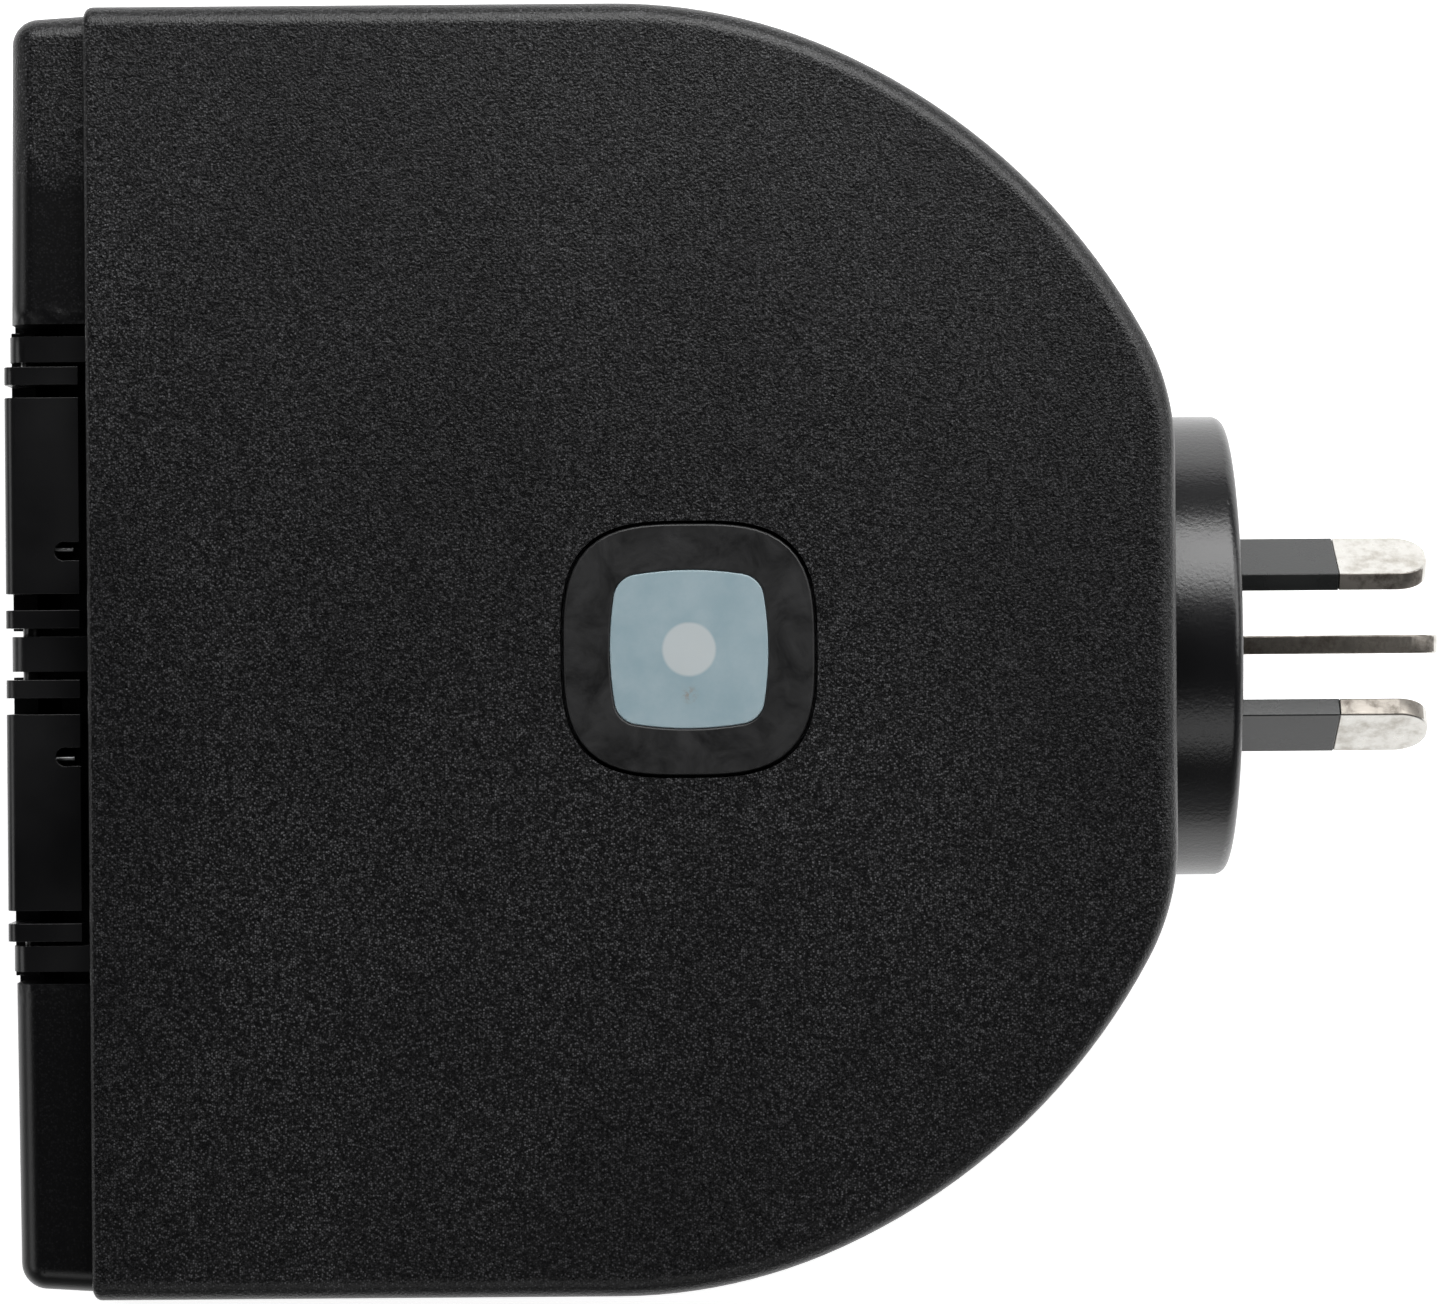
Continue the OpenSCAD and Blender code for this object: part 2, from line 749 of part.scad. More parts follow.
module contact_carrier() {
    color("#5b5d60") difference() {
        front_extrude(-panel_back, carrier_back) translate([0, -3.5]) round_rect(78, 30, 2);
        for (s = [-1, 1]) translate([s * socket_x, 0, 0]) for (i = [0:2]) at_pin(i)
            box([-1.9, -panel_back - 1, -4], [1.9, carrier_back + 1, 4]);
    }
}

// Twin-leaf clip that grips a blade.
module clip(index) {
    leaf = pin_t / 2 + 0.02;
    at_pin(index) {
        for (s = [-1, 1]) translate([s * (leaf + 0.3), 0, 0])
            box([-0.3, contact_front, -3.2], [0.3, contact_back + eps, 3.2]);
        box([-leaf - 0.6, contact_back, -3.2], [leaf + 0.6, contact_back + strip_t, 3.2]);
    }
}

module active_contact(side) {
    color("#c99a3f") translate([side * socket_x, 0, 0]) {
        clip(0);
        box([-pin_x - 1.2, contact_back + strip_t - eps, pin_z - 0.4], [-pin_x + 1.2, -70, pin_z + 0.4]);
    }
}

module neutral_busbar() {
    strip_y = contact_back + strip_t;
    color("#c99a3f") {
        for (s = [-1, 1]) translate([s * socket_x, 0, 0]) {
            clip(1);
            box([pin_x - 1.2, strip_y - eps, -4.5], [pin_x + 1.2, strip_y + strip_t, pin_z + 2]);
        }
        box([-socket_x + pin_x - 1.2, strip_y - eps, -4.5],
            [socket_x + pin_x + 1.2, strip_y + strip_t, -0.9]);
    }
}

module earth_busbar() {
    strip_y = contact_back + strip_t;
    color("#c99a3f") {
        for (s = [-1, 1]) translate([s * socket_x, 0, 0]) clip(2);
        box([-socket_x - 1.2, strip_y - eps, -earth_z - 2], [socket_x + 1.2, strip_y + strip_t, -earth_z + 2]);
    }
}

// How far a wire's end stays off the face that it is soldered to, at its centre
lead_clear = 0.7;

// Round wire through a list of points.
module wire(points, d) {
    for (i = [0:len(points) - 2])
        let (a = points[i], b = points[i + 1], v = b - a, flat = norm([v.x, v.y]))
        translate(a) rotate([0, atan2(flat, v.z), atan2(v.y, v.x)]) cylinder(d = d, h = norm(v));
    for (i = [1:len(points) - 2]) translate(points[i]) sphere(d = d * 1.08);
}

module active_wire() {
    color("#7a4a26") wire([[-pin_x, tail_y - lead_clear, pin_z], [-10, -22, 6], [-27, -24, 4],
                          [-30, -30, board_top + lead_clear]], 2.2);
}

module neutral_wire() {
    color("#2f6fb5") wire([[pin_x, tail_y - lead_clear, pin_z], [10, -22, 6], [26, -25, 4],
                          [29, -28, board_top + lead_clear]], 2.2);
}

module earth_wire() {
    color("#4f8f3a") wire([[0, tail_y - lead_clear, -earth_z], [0, -24, -15], [0, -70, -15],
                          [0, contact_back + 2 * strip_t + lead_clear, -11]], 2.2);
}

module switch_lead() {
    color("#cfd0d2") box([9.5, -49, board_top], [10.4, -43, switch_board_z]);
}

top_cover();
lower_housing();
housing_gasket();
housing_screws();
rating_label();
front_bezel();
socket_panel();
front_gasket();
bezel_screws();
flap(-1);  // flap_left
flap(1);  // flap_right
flap_seal(-1);  // flap_seal_left
flap_seal(1);  // flap_seal_right
flap_spring(-1);  // flap_spring_left
flap_spring(1);  // flap_spring_right
plug_base();
plug_seal();
line_pin(0);  // active_pin
line_pin(1);  // neutral_pin
earth_pin();
pin_sleeve(0);  // active_sleeve
pin_sleeve(1);  // neutral_sleeve
button_cap();
light_window();
push_post();
button_seal();
switch_board();
switch_board_screws();
tact_switch();
switch_plunger();
status_led();
main_board();
main_board_screws();
relay(-1);  // relay_left
relay(1);  // relay_right
power_transformer();
storage_capacitor();
filter_capacitor();
varistor();
fuse();
wifi_module();
contact_carrier();
active_contact(-1);  // active_contact_left
active_contact(1);  // active_contact_right
neutral_busbar();
earth_busbar();
active_wire();
neutral_wire();
earth_wire();
switch_lead();
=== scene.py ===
"""Looks of a weatherproof twin smart plug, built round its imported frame.

Axes: +Y into the wall, -Y the front with the flaps, +Z up. Lengths are in metres; MM turns
millimetres into metres.
"""
import math

import bmesh
import bpy
from mathutils import Matrix, Vector


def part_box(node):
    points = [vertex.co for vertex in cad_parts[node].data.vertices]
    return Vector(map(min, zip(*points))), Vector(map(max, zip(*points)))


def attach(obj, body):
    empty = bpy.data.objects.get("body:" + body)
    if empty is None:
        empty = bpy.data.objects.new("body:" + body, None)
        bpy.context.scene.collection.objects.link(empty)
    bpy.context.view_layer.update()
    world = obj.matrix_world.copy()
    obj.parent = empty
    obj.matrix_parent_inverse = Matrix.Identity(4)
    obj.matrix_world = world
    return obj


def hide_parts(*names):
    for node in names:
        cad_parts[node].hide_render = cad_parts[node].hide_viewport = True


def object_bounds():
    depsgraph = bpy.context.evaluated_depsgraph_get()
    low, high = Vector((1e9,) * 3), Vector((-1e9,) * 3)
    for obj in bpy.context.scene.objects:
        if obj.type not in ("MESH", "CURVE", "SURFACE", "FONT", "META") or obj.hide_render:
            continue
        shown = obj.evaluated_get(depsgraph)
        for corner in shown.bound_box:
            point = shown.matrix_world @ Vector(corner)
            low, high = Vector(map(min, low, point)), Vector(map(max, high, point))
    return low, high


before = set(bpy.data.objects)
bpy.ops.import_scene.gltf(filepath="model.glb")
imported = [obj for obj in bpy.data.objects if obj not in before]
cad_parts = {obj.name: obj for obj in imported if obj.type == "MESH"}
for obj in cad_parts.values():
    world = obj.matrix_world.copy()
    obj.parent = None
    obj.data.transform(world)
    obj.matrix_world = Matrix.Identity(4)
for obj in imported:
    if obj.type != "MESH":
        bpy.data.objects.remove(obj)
cad_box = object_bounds()

MM = 0.001

# ---------------------------------------------------------------- sizes

# Read from the frame
cover_low, cover_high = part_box("top_cover")
bezel_low, bezel_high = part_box("front_bezel")
label_low, label_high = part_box("rating_label")

HALF_WIDTH = cover_high.x
TOP = cover_high.z
FRONT = cover_low.y
FLAT = cover_high.y

# The case's plan: a round rear blended into straight sides and into the flat behind the plug
MAIN_R = 53.2 * MM
MAIN_Y = -55.4 * MM
SIDE_R = 44 * MM
FLAT_R = 20 * MM
CORNER_R = 0.7 * MM
WALL = 2.4 * MM
EDGE_R = 1.8 * MM
SEAM = 0.12 * MM
LIP_R = 0.45 * MM
NECK_R = 16.5 * MM
LABEL_R = 1.3 * MM
LABEL_GAP = 0.2 * MM
LABEL_DEPTH = 0.25 * MM

# Case posts: the cover's, the housing's with its screw wells, and the two for the button's board.
# POSTS, WELL_TOP and BOARD_POST_X are in plain millimetres, as the screw sets take them.
POSTS = [(45, -82), (-45, -82), (36, -28), (-36, -28)]
COVER_POST_R = 3.5 * MM
HOUSING_POST_R = 4.5 * MM
WELL_R = 3.1 * MM
WELL_TOP = -14
BOARD_POST_X = 15.6
BOARD_POST_R = 2.3 * MM
BOARD_POST_FOOT = 17.7 * MM

# Button: a squircle in a hole of the cover
BUTTON_Y = -45.7 * MM
BUTTON_POWER = 3.2
BUTTON_HALF = 10.15 * MM
BUTTON_GAP = 0.25 * MM

# Bezel and its opening, which is open to the top between the pocket's ends; screws in millimetres
BEZEL_ROUNDING = 2.0 * MM
BEZEL_CORNER = 2.2 * MM
BEZEL_BOW = 0.3 * MM
BEZEL_DRAFT = 0.25 * MM
SMALLEST_R = 0.15 * MM
OPENING_X = 49.7 * MM
OPENING_TOP = 18.3 * MM
OPENING_BOTTOM = -21.5 * MM
OPENING_R = 3.4 * MM
POCKET_X = 26.8 * MM
SOCKET_X = 25.5 * MM
SCOOP = (18 * MM, 5 * MM, 2.4 * MM)
BEZEL_SCREWS = [(38, 23.15), (-38, 23.15), (38, -23.35), (-38, -23.35)]

# Hinges of the flaps, with the round at the end of the notch for the spring's leg
HINGE_Y = -99.3 * MM
HINGE_Z = 23.3 * MM
EYE_X = 8.35 * MM
EYE_Y = -96.45 * MM
EYE_R = 0.78 * MM

# The active and neutral pins lean towards each other at the top
PIN_LEAN = math.radians(30)


# ---------------------------------------------------------------- materials

def hex_linear(text):
    """An sRGB hex colour as linear red, green, blue, alpha."""
    values = [int(text[i:i + 2], 16) / 255 for i in (1, 3, 5)]
    return [v / 12.92 if v <= 0.04045 else ((v + 0.055) / 1.055) ** 2.4 for v in values] + [1.0]


def add(tree, kind, settings=None, **inputs):
    """Adds a node; an input is a value or another node's output socket, named with _ for space."""
    node = tree.nodes.new(kind)
    for name, value in (settings or {}).items():
        setattr(node, name, value)
    for name, value in inputs.items():
        key = int(name[1:]) if name[0] == "i" and name[1:].isdigit() else name.replace("_", " ")
        if isinstance(value, bpy.types.NodeSocket):
            tree.links.new(value, node.inputs[key])
        else:
            node.inputs[key].default_value = value
    return node


def surface(name):
    """A new material with its node tree, Object coordinates and Principled shader."""
    material = bpy.data.materials.new(name)
    material.use_nodes = True
    tree = material.node_tree
    tree.nodes.clear()
    place = add(tree, "ShaderNodeTexCoord").outputs["Object"]
    shader = add(tree, "ShaderNodeBsdfPrincipled")
    add(tree, "ShaderNodeOutputMaterial", Surface=shader.outputs["BSDF"])
    return material, tree, place, shader


def noise(tree, place, size, detail=2.0, rough=0.5, distort=0.0):
    """Noise with features about size metres across."""
    return add(tree, "ShaderNodeTexNoise", Vector=place, Scale=1 / size, Detail=detail,
               Roughness=rough, Distortion=distort).outputs["Fac"]


def ramp(tree, value, low, high, out_low=0.0, out_high=1.0):
    """Maps a value from one range to another, clamped."""
    return add(tree, "ShaderNodeMapRange", Value=value, From_Min=low, From_Max=high,
               To_Min=out_low, To_Max=out_high).outputs["Result"]


def blend_colours(tree, factor, first, second):
    """Mixes two colours, each a hex text or a socket."""
    mix = add(tree, "ShaderNodeMix", {"data_type": "RGBA"})
    for index, colour in ((6, first), (7, second)):
        if isinstance(colour, str):
            mix.inputs[index].default_value = hex_linear(colour)
        else:
            tree.links.new(colour, mix.inputs[index])
    if isinstance(factor, bpy.types.NodeSocket):
        tree.links.new(factor, mix.inputs[0])
    else:
        mix.inputs[0].default_value = factor
    return mix.outputs[2]


def bumps(tree, shader, *layers):
    """Chains bump layers, each (height socket, strength, depth in metres), into the shader."""
    normal = None
    for height, strength, depth in layers:
        bump = add(tree, "ShaderNodeBump", Strength=strength, Distance=depth, Height=height)
        if normal is not None:
            tree.links.new(normal, bump.inputs["Normal"])
        normal = bump.outputs["Normal"]
    tree.links.new(normal, shader.inputs["Normal"])


def moulded(name, dark, light, rough=(0.4, 0.5), grain=0.3 * MM, depth=0.01 * MM,
            blotch=9 * MM, blotch_rough=0.55, ior=1.5, grain_strength=0.6):
    """Moulded plastic: a grain from the tool, faint cloudiness in colour and sheen."""
    material, tree, place, shader = surface(name)
    broad_noise = noise(tree, place, blotch, 4, blotch_rough)
    grains = noise(tree, place, grain, 2, 0.6)
    colour = blend_colours(tree, ramp(tree, broad_noise, 0.35, 0.65), dark, light)
    tree.links.new(colour, shader.inputs["Base Color"])
    tree.links.new(ramp(tree, broad_noise, 0.3, 0.7, *rough), shader.inputs["Roughness"])
    shader.inputs["IOR"].default_value = ior
    bumps(tree, shader, (grains, grain_strength, depth))
    return material


def spark_eroded_plastic(name, polished=False):
    """Black ABS from a spark-eroded tool: a crisp even grain with pale specks painted on its crowns
    as painted glints, and broad streaks of painted light along X. Polished, the grain, its sheen
    and its painted glints fade out on all but the far left end."""
    material, tree, place, shader = surface(name)
    # grain of a fifth of a millimetre over coarser crumbs, with pale specks painted on the crowns
    # as painted glints
    grains = noise(tree, place, 0.2 * MM, 2, 0.6)
    crumbs = noise(tree, place, 0.42 * MM, 3, 0.7)
    crowns = add(tree, "ShaderNodeTexVoronoi", Vector=place, Scale=1 / (0.18 * MM))
    # painted light: soft streaks stretched along X lighten the colour where light falls across the
    # cover
    drawn = add(tree, "ShaderNodeMapping", Vector=place, Scale=(0.45, 1, 1)).outputs["Vector"]
    broad_noise = ramp(tree, noise(tree, drawn, 22 * MM, 3, 0.55), 0.38, 0.62)
    # painted highlight: pale specks on the crowns of the grain stand in for glints
    painted_glint = add(tree, "ShaderNodeMath", {"operation": "MULTIPLY"},
                i0=ramp(tree, crowns.outputs["Distance"], 0.15, 0.6, 1, 0),
                i1=ramp(tree, crowns.outputs["Color"], 0.35, 0.95)).outputs["Value"]
    # every crown of the grain has a sheen of its own, which makes it glitter
    sheen = ramp(tree, crowns.outputs["Color"], 0.05, 0.85, -1, 1)
    fine, coarse = 1.0, 0.9
    if polished:
        axes = add(tree, "ShaderNodeSeparateXYZ", Vector=place)
        across = axes.outputs["X"]
        upward = axes.outputs["Z"]
        ragged = noise(tree, place, 4.5 * MM, 4, 0.6)
        edge = add(tree, "ShaderNodeMath", {"operation": "MULTIPLY_ADD"}, i0=ragged, i1=12 * MM,
                   i2=across).outputs["Value"]
        kept = ramp(tree, edge, -36 * MM, -32 * MM, 1, 0)
        # the painted glints fade with the grain where the bezel is polished
        painted_glint = add(tree, "ShaderNodeMath", {"operation": "MULTIPLY"}, i0=painted_glint,
                    i1=ramp(tree, kept, 0, 1, 0.16, 1)).outputs["Value"]
        sheen = add(tree, "ShaderNodeMath", {"operation": "MULTIPLY"}, i0=sheen,
                    i1=kept).outputs["Value"]
        fine = ramp(tree, kept, 0, 1, 0.1, 1.0)
        coarse = ramp(tree, kept, 0, 1, 0.06, 0.9)
    # the dull and bright colours both carry the painted light streaks; bright is the colour of the
    # painted glints
    dull = blend_colours(tree, broad_noise, "#030304", "#060607")
    bright = blend_colours(tree, broad_noise, "#454547", "#5e5e60")
    tree.links.new(blend_colours(tree, painted_glint, dull, bright), shader.inputs["Base Color"])
    tree.links.new(ramp(tree, sheen, -1, 1, 0.27, 0.37), shader.inputs["Roughness"])
    shader.inputs["IOR"].default_value = 1.5
    # the walls of the grain shade one another, which dims its sheen
    shader.inputs["Specular IOR Level"].default_value = 0.42
    layers = [(crumbs, coarse, 0.045 * MM), (grains, fine, 0.06 * MM)]
    if polished:
        # the pocket's ends were worked by hand and are slightly wavy
        waves = noise(tree, place, 2.4 * MM, 2, 0.5)
        inward = add(tree, "ShaderNodeMath", {"operation": "ABSOLUTE"}, i0=across).outputs["Value"]
        near_hinge = add(tree, "ShaderNodeMath", {"operation": "MULTIPLY"},
                         i0=ramp(tree, inward, 27.6 * MM, 28.8 * MM, 0.9, 0),
                         i1=ramp(tree, upward, 20 * MM, 22 * MM)).outputs["Value"]
        layers.append((waves, near_hinge, 0.5 * MM))
    bumps(tree, shader, *layers)
    return material


def nickel_plate(name, bright, dull, rough, depth):
    """Nickel-plated brass: slightly warm, dulled by fine draw lines and rubbed spots."""
    material, tree, place, shader = surface(name)
    stretched = add(tree, "ShaderNodeMapping", Vector=place, Scale=(1, 0.08, 1)).outputs["Vector"]
    lines = noise(tree, stretched, 0.12 * MM, 2, 0.6)
    rubs = noise(tree, place, 2.2 * MM, 5, 0.7)
    colour = blend_colours(tree, ramp(tree, rubs, 0.45, 0.68), bright, dull)
    tree.links.new(colour, shader.inputs["Base Color"])
    shader.inputs["Metallic"].default_value = 1.0
    tree.links.new(ramp(tree, rubs, 0.35, 0.7, *rough), shader.inputs["Roughness"])
    bumps(tree, shader, (lines, 0.25, depth), (rubs, 0.2, 0.03 * MM))
    return material


def pressed_metal(name, bright, dull, rough=(0.3, 0.45), line=0.15 * MM, blotch=3 * MM):
    """Rolled, drawn or plated metal: fine lines and cloudy dulling."""
    material, tree, place, shader = surface(name)
    lines = noise(tree, place, line, 3, 0.6)
    broad_noise = noise(tree, place, blotch, 4, 0.6)
    colour = blend_colours(tree, ramp(tree, broad_noise, 0.4, 0.7), bright, dull)
    tree.links.new(colour, shader.inputs["Base Color"])
    shader.inputs["Metallic"].default_value = 1.0
    tree.links.new(ramp(tree, broad_noise, 0.3, 0.7, *rough), shader.inputs["Roughness"])
    bumps(tree, shader, (lines, 0.3, 0.01 * MM))
    return material


def window_plastic():
    """Translucent diffusing polycarbonate over a white post and a small lamp, seen as a paler
    disc and a faint brown mark through its milky blue-grey body."""
    material, tree, place, shader = surface("milky_polycarbonate_window")
    local = add(tree, "ShaderNodeMapping", Vector=place,
                Location=(0, -BUTTON_Y, 0), Scale=(1, 1, 0)).outputs["Vector"]
    radius = add(tree, "ShaderNodeVectorMath", {"operation": "LENGTH"}, i0=local).outputs["Value"]
    disc = ramp(tree, radius, 2.04 * MM, 2.26 * MM, 1.0, 0.0)
    broad_noise = noise(tree, place, 2.6 * MM, 5, 0.65)
    body = blend_colours(tree, ramp(tree, broad_noise, 0.35, 0.68), "#8ca1a9", "#97a9b0")
    lamp_place = add(tree, "ShaderNodeMapping", Vector=place,
                     Location=(-3.65 * MM, -BUTTON_Y, 0), Scale=(1, 1, 0)).outputs["Vector"]
    lamp_radius = add(tree, "ShaderNodeVectorMath", {"operation": "LENGTH"},
                      i0=lamp_place).outputs["Value"]
    streaks = noise(tree, lamp_place, 0.5 * MM, 3, 0.7)
    lamp_area = ramp(tree, lamp_radius, 0.25 * MM, 0.85 * MM, 0.75, 0.0)
    lamp = add(tree, "ShaderNodeMath", {"operation": "MULTIPLY"}, i0=lamp_area,
               i1=ramp(tree, streaks, 0.46, 0.62)).outputs["Value"]
    lit = blend_colours(tree, disc, body, "#b6bdbf")
    colour = blend_colours(tree, lamp, lit, "#8d8276")
    tree.links.new(colour, shader.inputs["Base Color"])
    tree.links.new(ramp(tree, broad_noise, 0.3, 0.7, 0.34, 0.46), shader.inputs["Roughness"])
    shader.inputs["IOR"].default_value = 1.58
    shader.inputs["Subsurface Weight"].default_value = 0.25
    shader.inputs["Subsurface Radius"].default_value = (1.2, 1.4, 1.6)
    shader.inputs["Subsurface Scale"].default_value = 0.6 * MM
    bumps(tree, shader, (broad_noise, 0.12, 0.05 * MM))
    return material


def button_plastic():
    """Smooth matt ABS, cloudy with handling: finger smears dull it in patches."""
    material, tree, place, shader = surface("fingered_matt_abs")
    smear = noise(tree, place, 3.4 * MM, 5, 0.68, 0.6)
    fine = noise(tree, place, 0.16 * MM, 2, 0.5)
    colour = blend_colours(tree, ramp(tree, smear, 0.36, 0.66), "#0a0a0b", "#1b1b1c")
    tree.links.new(colour, shader.inputs["Base Color"])
    tree.links.new(ramp(tree, smear, 0.3, 0.7, 0.36, 0.56), shader.inputs["Roughness"])
    shader.inputs["IOR"].default_value = 1.5
    bumps(tree, shader, (fine, 0.25, 0.008 * MM), (smear, 0.1, 0.03 * MM))
    return material


case_black = spark_eroded_plastic("spark_eroded_black_abs")
bezel_black = spark_eroded_plastic("part_polished_black_abs", True)
# Smooth tool faces: semi-gloss, near black, with faint flow marks
smooth_black = moulded("smooth_moulded_abs", "#0a0a0b", "#131314", (0.22, 0.32), 0.5 * MM,
                       0.012 * MM, 11 * MM, 0.45)
# Polycarbonate of the plug base: satin with a fine even grain
plug_black = moulded("satin_polycarbonate", "#0b0b0c", "#111113", (0.22, 0.29), 0.34 * MM,
                     0.04 * MM, 9 * MM, 0.45, 1.58)
# Dark grey nylon moulded round the pins
pin_grey = moulded("pin_insulation_nylon", "#151717", "#1e2020", (0.24, 0.32), 0.25 * MM,
                   0.015 * MM, 5 * MM, 0.5, 1.45)
nickel = nickel_plate("nickel_plated_brass", "#cac8c3", "#aca79e", (0.26, 0.46), 0.012 * MM)
# The blanked narrow edges of the pins: coarser, and darker and browner than the faces as a painted
# dark reflection
nickel_edge_painted_dark = nickel_plate("pin_edge_painted_reflection", "#8b867f", "#4a433d", (0.34, 0.6), 0.04 * MM)
button_black = button_plastic()
window_milky = window_plastic()
# Silicone seals: dull, soft to the eye
seal_grey = moulded("silicone_rubber", "#29292b", "#343436", (0.6, 0.75), 0.3 * MM, 0.02 * MM,
                    4 * MM, ior=1.41)
# Zinc-plated steel screws
zinc = pressed_metal("zinc_plated_steel", "#a9abad", "#86888a", (0.28, 0.46))
# Drawn stainless spring wire
spring_wire = pressed_metal("drawn_spring_steel", "#8e8f90", "#636465", (0.3, 0.44), 0.1 * MM)
# Tinned shield of the radio module
tinned = pressed_metal("tinned_shield", "#c7c9ca", "#a9abac", (0.22, 0.36))
# Rolled brass of the contact clips and bars
brass = pressed_metal("rolled_brass", "#cfa75a", "#a9843c", (0.26, 0.42))
# Blank matt label film
label_grey = moulded("matt_label_film", "#3b3c3e", "#444547", (0.5, 0.62), 0.3 * MM, 0.006 * MM)
# Solder mask over woven glass board
board_green = moulded("green_solder_mask", "#1b4f34", "#235f40", (0.28, 0.42), 0.5 * MM,
                      0.02 * MM, 6 * MM)
# White acetal post and plunger
white_acetal = moulded("white_acetal", "#d3d6d6", "#dfe1e1", (0.34, 0.46), 0.3 * MM)
# Clear resin lamp body with a yellow phosphor tint
lamp_resin = moulded("lamp_resin", "#d9cc98", "#e6daae", (0.16, 0.28), 0.4 * MM, 0.005 * MM)
# Blue moulded relay case
relay_blue = moulded("blue_relay_case", "#17437f", "#1d4f93", (0.24, 0.36), 0.4 * MM)
# Ferrite core and dark tape of the transformer
ferrite = moulded("ferrite_and_tape", "#2f2e2d", "#3d3b39", (0.5, 0.66), 0.3 * MM, 0.03 * MM)
# Shrink sleeve of the storage capacitor
sleeve_blue = moulded("blue_shrink_sleeve", "#1f2b52", "#273463", (0.22, 0.34), 0.6 * MM)
# Yellow moulded film capacitor
film_yellow = moulded("yellow_capacitor_case", "#c9a42b", "#d8b339", (0.36, 0.5), 0.3 * MM)
# Blue epoxy dip of the varistor
epoxy_blue = moulded("blue_epoxy_dip", "#285d95", "#3070ae", (0.3, 0.44), 0.8 * MM, 0.04 * MM)
# Glass fuse body with plated caps
fuse_pale = moulded("fuse_glass_and_caps", "#c9cac6", "#dadbd7", (0.12, 0.24), 0.6 * MM)
# Glass-filled nylon that holds the contacts
carrier_grey = moulded("glass_filled_nylon", "#535558", "#606265", (0.46, 0.6), 0.3 * MM,
                       0.03 * MM)
# Insulation of the inner wires
wire_brown = moulded("brown_wire_pvc", "#6c4021", "#7d4c29", (0.34, 0.48), 0.4 * MM)
wire_blue = moulded("blue_wire_pvc", "#2965a8", "#3372b8", (0.34, 0.48), 0.4 * MM)
wire_green = moulded("green_wire_pvc", "#47853a", "#549542", (0.34, 0.48), 0.4 * MM)
wire_grey = moulded("grey_wire_pvc", "#8d8e90", "#9b9c9e", (0.34, 0.48), 0.4 * MM)

NODE_FINISH = {
    "housing_gasket": seal_grey, "front_gasket": seal_grey, "plug_seal": seal_grey,
    "button_seal": seal_grey, "rating_label": label_grey,
    "switch_board": board_green, "main_board": board_green,
    "tact_switch": smooth_black, "switch_plunger": white_acetal, "push_post": white_acetal,
    "status_led": lamp_resin, "relay_left": relay_blue, "relay_right": relay_blue,
    "power_transformer": ferrite, "storage_capacitor": sleeve_blue,
    "filter_capacitor": film_yellow, "varistor": epoxy_blue, "fuse": fuse_pale,
    "wifi_module": tinned, "contact_carrier": carrier_grey,
    "active_contact_left": brass, "active_contact_right": brass,
    "neutral_busbar": brass, "earth_busbar": brass,
    "active_wire": wire_brown, "neutral_wire": wire_blue, "earth_wire": wire_green,
    "switch_lead": wire_grey,
}
for node_name, finish in NODE_FINISH.items():
    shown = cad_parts[node_name]
    shown.data.materials.clear()
    shown.data.materials.append(finish)


# ---------------------------------------------------------------- mesh tools

def link(obj):
    bpy.context.scene.collection.objects.link(obj)
    return obj


def make_object(name, verts, faces):
    """A linked mesh object from points and faces, normals turned outwards."""
    mesh = bpy.data.meshes.new(name)
    mesh.from_pydata([tuple(v) for v in verts], [], faces)
    body = bmesh.new()
    body.from_mesh(mesh)
    bmesh.ops.recalc_face_normals(body, faces=body.faces)
    body.to_mesh(mesh)
    body.free()
    return link(bpy.data.objects.new(name, mesh))


def stack(name, loops):
    """A closed solid through equal loops of points, capped at both ends."""
    count = len(loops[0])
    verts = [p for loop in loops for p in loop]
    faces = [[r * count + i, r * count + (i + 1) % count,
              (r + 1) * count + (i + 1) % count, (r + 1) * count + i]
             for r in range(len(loops) - 1) for i in range(count)]
    faces.append(list(range(count))[::-1])
    faces.append([(len(loops) - 1) * count + i for i in range(count)])
    return make_object(name, verts, faces)


def arc(x, y, radius, start, end, steps):
    """Points along an arc, angles in degrees."""
    return [(x + radius * math.cos(math.radians(start + (end - start) * i / steps)),
             y + radius * math.sin(math.radians(start + (end - start) * i / steps)))
            for i in range(steps + 1)]


def slot_outline(x, y, width, height, radius):
    """Rounded rectangle about a centre, as points."""
    right, top = x + width / 2 - radius, y + height / 2 - radius
    left, bottom = x - width / 2 + radius, y - height / 2 + radius
    return (arc(right, top, radius, 0, 90, 8) + arc(left, top, radius, 90, 180, 8)
            + arc(left, bottom, radius, 180, 270, 8) + arc(right, bottom, radius, 270, 360, 8))


def box_solid(name, low, high):
    """An upright box between two corners."""
    loops = [[(low[0], low[1], z), (high[0], low[1], z), (high[0], high[1], z),
              (low[0], high[1], z)] for z in (low[2], high[2])]
    return stack(name, loops)


def rod(name, start, end, radius, steps=48):
    """A round rod between two points."""
    start, end = Vector(start), Vector(end)
    turn = (end - start).to_track_quat("Z", "Y")
    ring = [turn @ Vector((radius * math.cos(math.tau * i / steps),
                           radius * math.sin(math.tau * i / steps), 0)) for i in range(steps)]
    return stack(name, [[start + p for p in ring], [end + p for p in ring]])


def baked(obj):
    """Applies the object's modifiers and returns the same object."""
    graph = bpy.context.evaluated_depsgraph_get()
    made = bpy.data.meshes.new_from_object(obj.evaluated_get(graph), depsgraph=graph)
    obj.modifiers.clear()
    obj.data = made
    return obj


def combine(base, tools, operation="DIFFERENCE"):
    """Cuts tools from base, or joins them to it, and removes the tools."""
    for tool in tools:
        step = base.modifiers.new("step", "BOOLEAN")
        step.operation = operation
        step.solver = "EXACT"
        step.object = tool
    baked(base)
    for tool in tools:
        bpy.data.objects.remove(tool)
    return base


